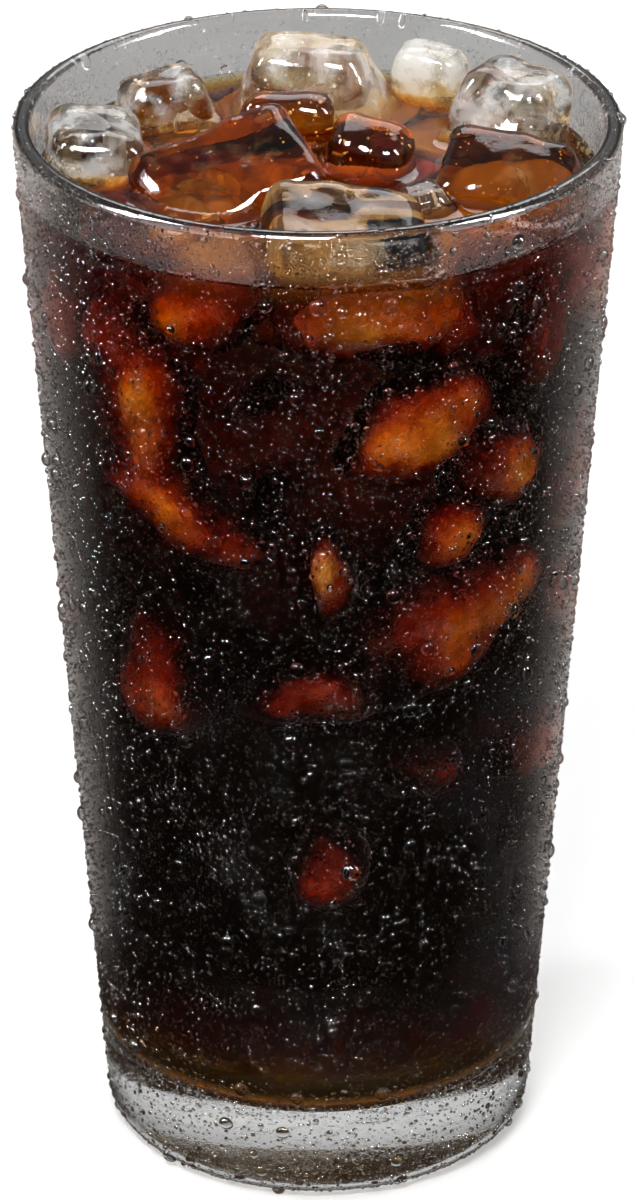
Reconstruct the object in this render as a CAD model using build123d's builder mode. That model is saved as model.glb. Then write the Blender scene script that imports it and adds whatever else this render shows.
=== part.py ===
from build123d import *
import os

# Iced coffee in a tapered tumbler: the glass, the coffee up to its level, and the ice standing out of it.
# Millimetres, +Z up. The origin is the centre of the foot, on the table.

# Glass
GLASS_HEIGHT = 159.0
RIM_RADIUS = 43.0  # outside
FOOT_RADIUS = 31.2  # outside, where the line of the wall meets the table
RIM_WALL = 2.6
FOOT_WALL = 3.3
BASE_THICKNESS = 13.7
HEEL_RADIUS = 4.7
INSIDE_CORNER_RADIUS = 5.0
HOLLOW_RADIUS = 22.0  # the shallow hollow under the foot
HOLLOW_DEPTH = 1.0

# Coffee
RIM_TO_COFFEE = 9.6

# Ice: half melted cubes, drawn for a mouth of this radius at the coffee's level and scaled to the real one
DRAWN_MOUTH = 39.5
ICE_EDGE_RADIUS = 2.2
FULL_ROUND_CROWN = 9.0  # a cube with a narrower crown is rounded less

# For each cube: the middle of its crown (x, y, height above the coffee), the crown's and the foot's
# sides, how far the foot is shifted from under the crown, the block's depth, its lean about X and Y,
# and its turn about Z.
ICE = {
    "ice_left": ((-31.0, 5.0, 5.9), (11.5, 12.0), (13.0, 14.0), (1.4, 0.0), 10.0, (4.0, 11.0), 6.0),
    "ice_left_back": ((-22.6, 22.2, 5.8), (9.5, 6.5), (15.0, 11.5), (0.5, -1.0), 12.5, (4.0, -4.0), 26.0),
    "ice_back": ((-1.2, 25.5, 9.7), (13.5, 8.0), (26.5, 14.5), (0.0, 0.0), 18.0, (5.0, -3.0), -10.0),
    "ice_back_small": ((16.2, 31.7, 6.6), (8.0, 5.0), (9.5, 6.0), (0.5, 0.0), 11.0, (2.0, 6.0), -22.0),
    "ice_right_back": ((28.6, 16.0, 9.0), (12.0, 9.0), (16.0, 13.0), (-1.0, -2.6), 14.0, (4.0, 2.0), -34.0),
    "ice_middle_left": ((-4.4, 13.2, 6.3), (11.0, 3.6), (14.0, 4.4), (0.0, 0.0), 10.0, (8.0, 2.0), -8.0),
    "ice_front_left": ((-12.9, -7.0, 4.7), (22.5, 17.0), (24.0, 18.5), (0.0, 0.0), 15.0, (25.0, -11.0), 22.0),
    "ice_middle": ((7.8, 5.0, 4.5), (9.0, 7.5), (11.0, 9.5), (0.0, 0.0), 12.0, (14.0, 12.0), -14.0),
    "ice_right": ((26.0, -5.4, 4.4), (17.0, 13.0), (17.5, 14.0), (0.0, 1.0), 14.0, (24.0, -4.0), -18.0),
    "ice_front": ((4.4, -27.0, 5.2), (20.5, 15.5), (22.0, 18.0), (0.0, -1.0), 15.0, (12.0, 12.0), 6.0),
    "ice_front_small": ((14.2, -10.0, 2.2), (5.6, 5.6), (6.0, 6.0), (0.0, 0.0), 8.0, (16.0, -8.0), 14.0),
}

COFFEE_LEVEL = GLASS_HEIGHT - RIM_TO_COFFEE
HOLLOW_SPHERE = (HOLLOW_RADIUS**2 + HOLLOW_DEPTH**2) / (2 * HOLLOW_DEPTH)
LIP_ROUND = 0.49 * RIM_WALL


def outer_radius(height):
    return FOOT_RADIUS + (RIM_RADIUS - FOOT_RADIUS) * height / GLASS_HEIGHT


def inner_radius(height):
    wall = FOOT_WALL + (RIM_WALL - FOOT_WALL) * height / GLASS_HEIGHT
    return outer_radius(height) - wall


def make_ice(label, crown_at, crown, foot, shift, depth, lean, turn):
    fit = inner_radius(COFFEE_LEVEL) / DRAWN_MOUTH
    x, y, rise = crown_at
    place = Location((x * fit, y * fit, COFFEE_LEVEL + rise * fit), (lean[0], lean[1], turn))
    top = Plane(place)
    with BuildPart() as block:
        with BuildSketch(top):
            Rectangle(crown[0] * fit, crown[1] * fit)
        with BuildSketch(top.offset(-depth * fit)):
            with Locations((shift[0] * fit, shift[1] * fit)):
                Rectangle(foot[0] * fit, foot[1] * fit)
        loft()
        rounding = ICE_EDGE_RADIUS * min(1.0, min(crown) / FULL_ROUND_CROWN)
        fillet(block.edges(), rounding * fit)
    block.part.label = label
    return block.part


os.makedirs("parts", exist_ok=True)

with BuildPart() as glass:
    with BuildSketch(Plane.XZ) as section:
        with BuildLine():
            Polyline(
                (0, 0),
                (FOOT_RADIUS, 0),
                (RIM_RADIUS, GLASS_HEIGHT),
                (inner_radius(GLASS_HEIGHT), GLASS_HEIGHT),
                (inner_radius(BASE_THICKNESS), BASE_THICKNESS),
                (0, BASE_THICKNESS),
                close=True,
            )
        make_face()
        heights = section.vertices().group_by(Axis.Y)
        heel = heights[0].sort_by(Axis.X)[-1]
        inside_corner = heights[1].sort_by(Axis.X)[-1]
        lip = heights[-1]
        fillet(heel, HEEL_RADIUS)
        fillet(inside_corner, INSIDE_CORNER_RADIUS)
        fillet(lip, LIP_ROUND)
        with Locations((0, HOLLOW_DEPTH - HOLLOW_SPHERE)):
            Circle(HOLLOW_SPHERE, mode=Mode.SUBTRACT)
    revolve(axis=Axis.Z)
glass.part.label = "glass"
export_step(glass.part, "parts/glass.step")

ice_cubes = [make_ice(label, *sizes) for label, sizes in ICE.items()]
for cube in ice_cubes:
    export_step(cube, f"parts/{cube.label}.step")

with BuildPart() as coffee:
    with BuildSketch(Plane.XZ) as fill:
        with BuildLine():
            Polyline(
                (0, BASE_THICKNESS),
                (inner_radius(BASE_THICKNESS), BASE_THICKNESS),
                (inner_radius(COFFEE_LEVEL), COFFEE_LEVEL),
                (0, COFFEE_LEVEL),
                close=True,
            )
        make_face()
        bottom_corner = fill.vertices().group_by(Axis.Y)[0].sort_by(Axis.X)[-1]
        fillet(bottom_corner, INSIDE_CORNER_RADIUS)
    revolve(axis=Axis.Z)
    add(ice_cubes, mode=Mode.SUBTRACT)
coffee.part.label = "coffee"
export_step(coffee.part, "parts/coffee.step")
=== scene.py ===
import logging
import math
import random
from dataclasses import dataclass, field
from enum import Enum
from typing import NamedTuple

import bpy
import numpy as np
from mathutils import Matrix, Vector
from mathutils.bvhtree import BVHTree


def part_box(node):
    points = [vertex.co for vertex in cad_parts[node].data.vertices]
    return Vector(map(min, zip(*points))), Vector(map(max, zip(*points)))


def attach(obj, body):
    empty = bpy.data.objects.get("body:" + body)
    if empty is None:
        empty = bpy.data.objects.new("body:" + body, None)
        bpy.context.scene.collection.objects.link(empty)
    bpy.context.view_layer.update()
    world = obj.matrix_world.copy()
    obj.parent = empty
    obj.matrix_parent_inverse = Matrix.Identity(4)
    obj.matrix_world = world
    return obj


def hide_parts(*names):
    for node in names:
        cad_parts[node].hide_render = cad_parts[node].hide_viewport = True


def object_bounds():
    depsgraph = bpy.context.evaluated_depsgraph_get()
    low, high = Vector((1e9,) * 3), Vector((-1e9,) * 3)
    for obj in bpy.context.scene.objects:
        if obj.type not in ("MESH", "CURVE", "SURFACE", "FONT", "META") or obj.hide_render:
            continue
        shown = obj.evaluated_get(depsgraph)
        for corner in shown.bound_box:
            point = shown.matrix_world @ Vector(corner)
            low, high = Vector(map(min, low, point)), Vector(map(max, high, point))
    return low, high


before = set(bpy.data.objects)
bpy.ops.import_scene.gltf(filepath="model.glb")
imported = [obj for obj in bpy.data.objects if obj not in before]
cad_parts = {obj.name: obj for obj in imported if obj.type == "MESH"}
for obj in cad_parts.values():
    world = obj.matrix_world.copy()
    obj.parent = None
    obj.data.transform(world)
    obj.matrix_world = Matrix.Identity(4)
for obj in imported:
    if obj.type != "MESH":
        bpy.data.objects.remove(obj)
cad_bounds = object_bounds()

log = logging.getLogger("iced_coffee")

MM = 0.001
BODY = "root"
Point = tuple[float, float]
Span = tuple[float, float]
Colour = tuple[float, float, float]


class Slot(Enum):
    """The record's material slots."""

    GLASS = "glass"
    COFFEE = "coffee"
    ICE = "ice"


class Shows(Enum):
    """Where a lamp is seen: everywhere, not in gloss, not through glass, or only in gloss."""

    BOTH = "both"
    LIGHT = "light"
    SKIN = "skin"
    GLINT = "glint"


# ----------------------------------------------------------------------------------------------
# Bench tools: small steps that every piece needs
# ----------------------------------------------------------------------------------------------


def clear_bench() -> None:
    """Leave edit mode and deselect everything."""
    if bpy.context.object and bpy.context.object.mode != "OBJECT":
        bpy.ops.object.mode_set(mode="OBJECT")
    bpy.ops.object.select_all(action="DESELECT")


def pick(piece: bpy.types.Object) -> None:
    """Make one object the only selected and active one.

    Args:
        piece: The object.
    """
    clear_bench()
    piece.select_set(True)
    bpy.context.view_layer.objects.active = piece


def modify(piece: bpy.types.Object, kind: str, **settings: object) -> None:
    """Add a modifier with its settings and apply it.

    Args:
        piece: The object to change.
        kind: The modifier's type, such as "REMESH".
        settings: The modifier's properties.
    """
    pick(piece)
    modifier = piece.modifiers.new(kind.lower(), kind)
    for name, value in settings.items():
        setattr(modifier, name, value)
    bpy.ops.object.modifier_apply(modifier=modifier.name)


def tidy_shell(piece: bpy.types.Object, merge: float = 0.001 * MM) -> None:
    """Merge doubles, drop empty faces and turn every face outwards.

    Args:
        piece: A closed shell.
        merge: Points nearer than this become one, in metres.
    """
    pick(piece)
    bpy.ops.object.mode_set(mode="EDIT")
    bpy.ops.mesh.select_all(action="SELECT")
    bpy.ops.mesh.remove_doubles(threshold=merge)
    bpy.ops.mesh.dissolve_degenerate(threshold=merge)
    bpy.ops.mesh.normals_make_consistent(inside=False)
    bpy.ops.object.mode_set(mode="OBJECT")


def copy_of(piece: bpy.types.Object, name: str) -> bpy.types.Object:
    """A free copy of an object with a mesh of its own.

    Args:
        piece: The object to copy.
        name: The copy's name.

    Returns:
        The copy, with no parent, no modifiers and no materials.
    """
    twin = bpy.data.objects.new(name, piece.data.copy())
    twin.data.materials.clear()
    bpy.context.scene.collection.objects.link(twin)
    return twin


def scrap(piece: bpy.types.Object) -> None:
    """Remove a helper object and its mesh.

    Args:
        piece: The helper.
    """
    mesh = piece.data
    bpy.data.objects.remove(piece)
    bpy.data.meshes.remove(mesh)


def smooth(piece: bpy.types.Object) -> None:
    """Shade an object smooth."""
    pick(piece)
    bpy.ops.object.shade_smooth()


def shell_of(name: str, points: list[list[float]], faces: list[tuple[int, ...]]) -> bpy.types.Object:
    """Make an object from points and faces.

    Args:
        name: The object's name.
        points: Its points.
        faces: Its faces, as numbers of points.

    Returns:
        The object.
    """
    mesh = bpy.data.meshes.new(name)
    mesh.from_pydata(points, [], faces)
    piece = bpy.data.objects.new(name, mesh)
    bpy.context.scene.collection.objects.link(piece)
    return piece


def join(pieces: list[bpy.types.Object], name: str) -> bpy.types.Object:
    """Join objects into the first of them.

    Args:
        pieces: The objects to join, at least one.
        name: The joined object's name.

    Returns:
        The joined object.
    """
    clear_bench()
    for piece in pieces:
        piece.select_set(True)
    bpy.context.view_layer.objects.active = pieces[0]
    if len(pieces) > 1:
        bpy.ops.object.join()
    pieces[0].name = name
    return pieces[0]


def settle(
    piece: bpy.types.Object,
    finishes: list[bpy.types.Material],
    stands_for: tuple[str, ...] = (),
) -> bpy.types.Object:
    """Apply an object's place, dress it and put it on the body.

    Args:
        piece: The finished object.
        finishes: Its materials, in the order of its faces' material numbers.
        stands_for: The CAD nodes that it is shown in place of.

    Returns:
        The same object.
    """
    pick(piece)
    bpy.ops.object.transform_apply(location=True, rotation=True, scale=True)
    piece.data.materials.clear()
    for finish in finishes:
        piece.data.materials.append(finish)
    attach(piece, BODY)
    if stands_for:
        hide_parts(*stands_for)
    log.info("%s: %d faces", piece.name, len(piece.data.polygons))
    return piece


# ----------------------------------------------------------------------------------------------
# Turned outlines
# ----------------------------------------------------------------------------------------------


@dataclass(frozen=True)
class Corner:
    """A corner of a turned outline: its radius from the axis, its height and its rounding."""

    out: float
    height: float
    rounding: float = 0.0
    facets: int = 12


def round_corners(corners: list[Corner], run: float = 9 * MM, support: float = 0.4 * MM) -> list[Point]:
    """Turn corners into an outline with tangent arcs and evenly divided straights.

    Args:
        corners: The outline's corners, first and last on the axis.
        run: The longest straight piece.
        support: The length of the short piece next to each arc, which keeps the shading true.

    Returns:
        Points of (radius, height).
    """
    arcs: list[list[Vector]] = []
    for index, corner in enumerate(corners):
        here = Vector((corner.out, corner.height))
        if not corner.rounding:
            arcs.append([here])
            continue
        back = (Vector((corners[index - 1].out, corners[index - 1].height)) - here).normalized()
        ahead = (Vector((corners[index + 1].out, corners[index + 1].height)) - here).normalized()
        half = back.angle(ahead) / 2
        middle = here + (back + ahead).normalized() * corner.rounding / math.sin(half)
        first = here + back * corner.rounding / math.tan(half) - middle
        last = here + ahead * corner.rounding / math.tan(half) - middle
        sweep = first.angle_signed(last)
        steps = [step / corner.facets for step in range(corner.facets + 1)]
        arcs.append([middle + Matrix.Rotation(-sweep * step, 2) @ first for step in steps])
    points = list(arcs[0])
    for before, after in zip(arcs, arcs[1:]):
        start, end = before[-1], after[0]
        length = (end - start).length
        if length > 3 * support:
            plain = length - 2 * support
            pieces = max(1, round(plain / run))
            marks = [support / length]
            marks += [(support + plain * piece / pieces) / length for piece in range(1, pieces + 1)]
            points += [start.lerp(end, mark) for mark in marks]
        points += after if length > 1e-7 else after[1:]
    return [(point.x, point.y) for point in points]


def turn(name: str, outline: list[Point], steps: int) -> bpy.types.Object:
    """Extrude an outline point by point and spin it round the Z axis.

    Args:
        name: The new object's name.
        outline: Points of (radius, height), the first and last on the axis.
        steps: How many steps the full turn has.

    Returns:
        A closed shell whose faces point outwards.
    """
    clear_bench()
    bpy.ops.mesh.primitive_plane_add(size=MM)
    piece = bpy.context.object
    piece.name = name
    bpy.ops.object.mode_set(mode="EDIT")
    bpy.ops.mesh.select_all(action="SELECT")
    bpy.ops.mesh.merge(type="CENTER")
    bpy.ops.transform.translate(value=(outline[0][0], 0, outline[0][1]))
    for (out, height), (next_out, next_height) in zip(outline, outline[1:]):
        bpy.ops.mesh.extrude_vertices_move(
            TRANSFORM_OT_translate={"value": (next_out - out, 0, next_height - height)}
        )
    bpy.ops.mesh.select_all(action="SELECT")
    bpy.ops.mesh.spin(steps=steps, angle=math.tau, center=(0, 0, 0), axis=(0, 0, 1))
    bpy.ops.object.mode_set(mode="OBJECT")
    tidy_shell(piece)
    smooth(piece)
    return piece


# ----------------------------------------------------------------------------------------------
# Finishes
# ----------------------------------------------------------------------------------------------


class Grain(NamedTuple):
    """The look of a noise: its cells per metre, its finer layers and how strong each of them is."""

    cells: float
    layers: float = 2.0
    strength: float = 0.5


class Tree:
    """A short hand for building a node tree."""

    def __init__(self, tree: bpy.types.NodeTree) -> None:
        """Empty the tree and give it the coordinates that most of its nodes read.

        Args:
            tree: A material's or the world's node tree.
        """
        self.tree = tree
        self.tree.nodes.clear()
        self.place = self.add("ShaderNodeTexCoord")

    def add(self, kind: str, **settings: object) -> bpy.types.Node:
        """Add a node.

        Args:
            kind: The node's type, such as "ShaderNodeMath".
            settings: Properties of the node, or values of the inputs that have these names.

        Returns:
            The node.
        """
        node = self.tree.nodes.new(kind)
        for name, value in settings.items():
            label = name.replace("_", " ").title()
            if hasattr(node, name):
                setattr(node, name, value)
            else:
                node.inputs[label].default_value = value
        return node

    def link(
        self, source: bpy.types.Node, out: str | int, target: bpy.types.Node, into: str | int
    ) -> None:
        """Join one node's output to another's input."""
        self.tree.links.new(source.outputs[out], target.inputs[into])

    def straight(
        self, path: bpy.types.Node, bounced: bpy.types.Node | bpy.types.NodeSocket
    ) -> bpy.types.Node:
        """Whether a ray came through glass without having bounced off anything glossy.

        Args:
            path: The tree's Light Path node.
            bounced: An output that is 1 or more for rays that have.

        Returns:
            A Math node, 1 or 0.
        """
        node = self.maths("SUBTRACT", path.outputs["Is Transmission Ray"], bounced)
        node.use_clamp = True
        return node

    def noise(self, grain: Grain) -> bpy.types.Node:
        """A noise on the object's own coordinates.

        Args:
            grain: Its look.

        Returns:
            The Noise node.
        """
        cells, layers, strength = grain
        node = self.add("ShaderNodeTexNoise", scale=cells, detail=layers, roughness=strength)
        self.link(self.place, "Object", node, "Vector")
        return node

    def ramp(
        self, source: bpy.types.Node, out: str | int, stops: list[tuple[float, Colour]]
    ) -> bpy.types.Node:
        """A colour ramp over a node's output.

        Args:
            source: The node to read.
            out: Its output.
            stops: Places from 0 to 1 and their colours, in order.

        Returns:
            The Color Ramp node.
        """
        node = self.add("ShaderNodeValToRGB")
        band = node.color_ramp
        band.elements[0].position, band.elements[-1].position = stops[0][0], stops[-1][0]
        for position, _ in stops[1:-1]:
            band.elements.new(position)
        for element, (_, colour) in zip(band.elements, stops):
            element.color = (*colour, 1)
        self.link(source, out, node, "Fac")
        return node

    def span(
        self,
        source: bpy.types.Node,
        out: str | int,
        low: float,
        high: float,
        to_low: float = 0.0,
        to_high: float = 1.0,
    ) -> bpy.types.Node:
        """Map a node's output from one span of numbers to another, smoothly.

        Args:
            source: The node to read.
            out: Its output.
            low: The value that becomes to_low.
            high: The value that becomes to_high.
            to_low: The first new value.
            to_high: The last new value.

        Returns:
            The Map Range node.
        """
        node = self.add("ShaderNodeMapRange", interpolation_type="SMOOTHSTEP")
        limits = {"From Min": low, "From Max": high, "To Min": to_low, "To Max": to_high}
        for label, value in limits.items():
            node.inputs[label].default_value = value
        self.link(source, out, node, "Value")
        return node

    def along(self, axis: str, start: float, end: float) -> bpy.types.Node:
        """How far along an axis of the object a point is.

        Args:
            axis: "X", "Y" or "Z".
            start: The coordinate that gives 0, in metres.
            end: The coordinate that gives 1.

        Returns:
            The Map Range node.
        """
        split = self.add("ShaderNodeSeparateXYZ")
        self.link(self.place, "Object", split, 0)
        return self.span(split, axis, start, end)

    def rise(self, start: float, end: float) -> bpy.types.Node:
        """How high up a point is, from 0 at start to 1 at end."""
        return self.along("Z", start, end)

    def maths(
        self,
        operation: str,
        first: bpy.types.Node | bpy.types.NodeSocket | float,
        second: bpy.types.Node | bpy.types.NodeSocket | float,
    ) -> bpy.types.Node:
        """A Math node of two outputs or numbers.

        Args:
            operation: The node's operation, such as "MULTIPLY".
            first: A node, whose first output is read, an output, or a number.
            second: The same.

        Returns:
            The Math node.
        """
        node = self.add("ShaderNodeMath", operation=operation)
        for index, value in enumerate((first, second)):
            if isinstance(value, bpy.types.Node):
                self.link(value, 0, node, index)
            elif isinstance(value, bpy.types.NodeSocket):
                self.tree.links.new(value, node.inputs[index])
            else:
                node.inputs[index].default_value = value
        return node

    def mix(
        self,
        share: bpy.types.Node | bpy.types.NodeSocket,
        first: bpy.types.Node | Colour,
        second: bpy.types.Node | Colour,
    ) -> bpy.types.Node:
        """A colour between two others.

        Args:
            share: How much of the second there is.
            first: A colour, or a node that gives one.
            second: The same.

        Returns:
            The Mix node.
        """
        node = self.add("ShaderNodeMix", data_type="RGBA")
        for label, value in (("A", first), ("B", second)):
            if isinstance(value, bpy.types.Node):
                out = "Result" if value.bl_idname == "ShaderNodeMix" else "Color"
                self.link(value, out, node, label)
            else:
                node.inputs[label].default_value = (*value, 1)
        socket = share.outputs[0] if isinstance(share, bpy.types.Node) else share
        self.tree.links.new(socket, node.inputs[0])
        return node


class Nodes(Tree):
    """One material's node tree: a Principled shader and its output."""

    def __init__(self, name: str) -> None:
        """Start a material.

        Args:
            name: The material's name.
        """
        self.material = bpy.data.materials.new(name)
        self.material.use_nodes = True
        super().__init__(self.material.node_tree)
        self.output = self.add("ShaderNodeOutputMaterial")
        self.shader = self.add("ShaderNodeBsdfPrincipled")
        self.link(self.shader, "BSDF", self.output, "Surface")

    def bump(self, height: bpy.types.Node, out: str | int, distance: float) -> None:
        """Raise the surface by a node's output.

        Args:
            height: The node to read.
            out: Its output.
            distance: How high an output of 1 raises it, in metres.
        """
        node = self.add("ShaderNodeBump", strength=1.0, distance=distance)
        self.link(height, out, node, "Height")
        self.link(node, "Normal", self.shader, "Normal")

    def absorb(self, colour: Colour, density: float) -> None:
        """Fill the closed shell with a clear medium that takes light away.

        Args:
            colour: What is left of each colour where the medium is thin.
            density: How fast it takes light, per metre.
        """
        node = self.add("ShaderNodeVolumeAbsorption")
        node.inputs["Color"].default_value = (*colour, 1)
        node.inputs["Density"].default_value = density
        self.link(node, "Volume", self.output, "Volume")

    def set(self, **values: object) -> None:
        """Set the Principled shader's own sockets.

        Args:
            values: The sockets' names, in lower case with underscores, and their values.
        """
        for name, value in values.items():
            label = name.replace("_", " ").title().replace("Ior", "IOR")
            self.shader.inputs[label].default_value = value


@dataclass(frozen=True)
class ClearGlass:
    """Soda-lime glass, with a skin of very fine dew where it is wet."""

    ior: float = 1.5
    tint: Colour = (0.95, 0.968, 0.962)
    density: float = 5.0
    dewy: bool = False
    speck: float = 0.46 * MM
    speck_rise: float = 0.085 * MM
    dome_edge: float = 0.42
    thin: float = 0.22
    patches: Grain = Grain(260.0, 3.0)
    patch_span: Span = (0.38, 0.62)
    patchy: float = 0.25
    foot_dew: Span = (12.5 * MM, 19.0 * MM)
    lip_dew: Span = (154.0 * MM, 157.5 * MM)

    def material(self) -> bpy.types.Material:
        """Build the material.

        Returns:
            The material.
        """
        nodes = Nodes("dewy_glass" if self.dewy else "clear_glass")
        nodes.set(base_color=(1, 1, 1, 1), roughness=0.0, ior=self.ior, transmission_weight=1.0)
        nodes.absorb(self.tint, self.density)
        if self.dewy:
            cells = nodes.add("ShaderNodeTexVoronoi", scale=1 / self.speck)
            nodes.link(nodes.place, "Object", cells, "Vector")
            domes = nodes.span(cells, "Distance", self.dome_edge, 0.0)
            uneven = nodes.noise(self.patches)
            patches = nodes.span(uneven, "Fac", *self.patch_span, self.patchy, 1.0)
            above_foot = nodes.span(nodes.rise(*self.foot_dew), 0, 0.0, 1.0, self.thin, 1.0)
            under_lip = nodes.span(nodes.rise(*self.lip_dew), 0, 0.0, 1.0, 1.0, self.thin)
            amount = nodes.maths("MULTIPLY", nodes.maths("MULTIPLY", above_foot, under_lip), patches)
            nodes.bump(nodes.maths("MULTIPLY", domes, amount), 0, self.speck_rise)
        return nodes.material


@dataclass(frozen=True)
class Brew:
    """Black coffee: amber where it is thin, nearly black where it is deep.

    Each rate of per_mm is how fast it takes red, green or blue. The headroom keeps the fastest
    just under the most that the medium can take.
    """

    ior: float = 1.333
    per_mm: Colour = (0.15, 0.40, 1.10)
    headroom: float = 1.02

    def material(self) -> bpy.types.Material:
        """Build the material: absorption takes (1 - colour) * density per metre.

        Returns:
            The material.
        """
        nodes = Nodes("black_coffee")
        nodes.set(base_color=(1, 1, 1, 1), roughness=0.0, ior=self.ior, transmission_weight=1.0)
        density = max(self.per_mm) / MM * self.headroom
        nodes.absorb(tuple(1 - rate / MM / density for rate in self.per_mm), density)
        return nodes.material


@dataclass(frozen=True)
class DarkBrewPaintedGlow:
    """The middle of the coffee, where no light comes through: near black, with a painted amber glow in
    patches that grows towards the top, and a pale painted glow at the foot, where light comes in
    through the base.
    """

    deep: Colour = (0.005, 0.0018, 0.0008)
    # painted glow: amber that stands in for light coming through the coffee towards the top
    painted_glow: Colour = (0.75, 0.20, 0.03)
    # painted glow at the foot, where light comes in through the glass base
    foot: Colour = (1.0, 0.80, 0.45)
    low: float = 80 * MM
    high: float = 150 * MM
    foot_low: float = 13.9 * MM
    foot_high: float = 17.3 * MM
    patches: Grain = Grain(60.0, 3.0)
    patch_span: Span = (0.38, 0.64)
    patch_gain: float = 1.2
    rough: float = 0.6

    def material(self) -> bpy.types.Material:
        """Build the material.

        Returns:
            The material.
        """
        nodes = Nodes("deep_coffee_painted_glow")
        nodes.set(roughness=self.rough)
        uneven = nodes.noise(self.patches)
        patches = nodes.span(uneven, "Fac", *self.patch_span, 0.0, self.patch_gain)
        share = nodes.maths("MULTIPLY", nodes.rise(self.low, self.high), patches)
        # painted glow in patches, growing towards the top
        middle = nodes.ramp(share, 0, [(0.0, self.deep), (1.0, self.painted_glow)])
        # pale painted glow at the foot
        lit = nodes.mix(nodes.rise(self.foot_low, self.foot_high), self.foot, middle)
        nodes.link(lit, "Result", nodes.shader, "Base Color")
        return nodes.material


@dataclass(frozen=True)
class WetIce:
    """Melting ice: clear, whitened in patches by frozen air, straw coloured where coffee wets it."""

    name: str
    milk: float
    patches: Span = (0.42, 0.62)
    pale: Colour = (0.82, 0.82, 0.80)
    straw: Colour = (0.72, 0.54, 0.32)
    wet: Span = (149.0 * MM, 155.0 * MM)
    ior: float = 1.31
    tint: Colour = (0.90, 0.84, 0.72)
    density: float = 30.0
    ripple: float = 0.06 * MM
    pits: Grain = Grain(420.0, 4.0, 0.6)
    cloud: Grain = Grain(190.0, 6.0, 0.62)
    stain: float = 0.35
    stain_span: Span = (0.3, 0.7)
    straw_at: float = 0.1
    pale_at: float = 0.8
    rough: float = 0.03

    def material(self) -> bpy.types.Material:
        """Build the material.

        Returns:
            The material.
        """
        nodes = Nodes(self.name)
        nodes.set(roughness=self.rough, ior=self.ior)
        nodes.absorb(self.tint, self.density)
        cloud = nodes.noise(self.cloud)
        clear = nodes.span(cloud, "Fac", *self.patches, 1.0, 1.0 - self.milk)
        nodes.link(clear, 0, nodes.shader, "Transmission Weight")
        uneven = nodes.span(cloud, "Fac", *self.stain_span, -self.stain, self.stain)
        dryness = nodes.maths("ADD", nodes.rise(*self.wet), uneven)
        colour = nodes.ramp(dryness, 0, [(self.straw_at, self.straw), (self.pale_at, self.pale)])
        nodes.link(colour, "Color", nodes.shader, "Base Color")
        nodes.bump(nodes.noise(self.pits), "Fac", self.ripple)
        return nodes.material


@dataclass(frozen=True)
class Flaw:
    """White flaws in the ice: cracks and trapped air, partly clear."""

    name: str
    clear: float
    white: Colour = (0.95, 0.94, 0.92)
    holes: Grain = Grain(420.0, 5.0, 0.65)
    hole_span: Span = (0.40, 0.60)
    ior: float = 1.2
    rough: float = 0.25

    def material(self) -> bpy.types.Material:
        """Build the material.

        Returns:
            The material.
        """
        nodes = Nodes(self.name)
        nodes.set(base_color=(*self.white, 1), roughness=self.rough, ior=self.ior)
        holes = nodes.span(nodes.noise(self.holes), "Fac", *self.hole_span, 1.0, self.clear)
        nodes.link(holes, 0, nodes.shader, "Transmission Weight")
        return nodes.material


@dataclass(frozen=True)
class PaintedSunkGlow:
    """Ice under the coffee: frosty and pale at the wall, fading with depth from the wall through a
    painted amber and red glow into painted shade, and browner near the top.

    The wall's inside radius is wall_low at the height 0 and grows by wall_slope.
    """

    pale: Colour = (0.96, 0.70, 0.44)
    dim: Colour = (0.40, 0.21, 0.09)
    # painted glow: amber and red a little way in from the wall
    painted_halo: Colour = (0.42, 0.105, 0.020)
    # painted shade: near black where the ice lies far from the wall
    sunk: Colour = (0.014, 0.005, 0.002)
    fade: Span = (0.5 * MM, 7.6 * MM)
    to_painted_halo: Span = (0.0, 0.42)
    to_painted_shade: Span = (0.38, 0.95)
    top: Colour = (0.21, 0.145, 0.065)
    top_reach: Span = (143.0 * MM, 148.0 * MM)
    wall_low: float = 27.9 * MM
    wall_slope: float = 0.0782
    streaks: Grain = Grain(110.0, 6.0, 0.62)
    streak_span: Span = (0.36, 0.60)
    relief: float = 0.3 * MM
    edges: Grain = Grain(170.0, 6.0, 0.68)
    edge_span: Span = (0.32, 0.68)
    ragged: float = 1.3 * MM
    rough: float = 0.5

    def material(self) -> bpy.types.Material:
        """Build the material.

        Returns:
            The material.
        """
        nodes = Nodes("sunk_ice")
        nodes.set(roughness=self.rough)
        streaks = nodes.noise(self.streaks)
        dim_at, pale_at = self.streak_span
        colours = nodes.ramp(streaks, "Fac", [(dim_at, self.dim), (pale_at, self.pale)])
        split = nodes.add("ShaderNodeSeparateXYZ")
        flat = nodes.add("ShaderNodeVectorMath", operation="MULTIPLY")
        out = nodes.add("ShaderNodeVectorMath", operation="LENGTH")
        flat.inputs[1].default_value = (1, 1, 0)
        nodes.link(nodes.place, "Object", split, 0)
        nodes.link(nodes.place, "Object", flat, 0)
        nodes.link(flat, 0, out, 0)
        widening = nodes.maths("MULTIPLY", split.outputs["Z"], self.wall_slope)
        wall = nodes.maths("ADD", widening, self.wall_low)
        edges = nodes.noise(self.edges)
        ragged = nodes.span(edges, "Fac", *self.edge_span, -self.ragged, self.ragged)
        depth = nodes.maths("ADD", nodes.maths("SUBTRACT", wall, out.outputs["Value"]), ragged)
        # painted glow and painted shade by the distance from the wall
        share = nodes.span(depth, 0, *self.fade)
        glow = nodes.mix(nodes.span(share, 0, *self.to_painted_halo), colours, self.painted_halo)
        painted_shade_colour = nodes.mix(nodes.span(share, 0, *self.to_painted_shade), glow, self.sunk)
        topped = nodes.mix(nodes.rise(*self.top_reach), painted_shade_colour, self.top)
        nodes.link(topped, "Result", nodes.shader, "Base Color")
        nodes.bump(streaks, "Fac", self.relief)
        return nodes.material


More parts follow.
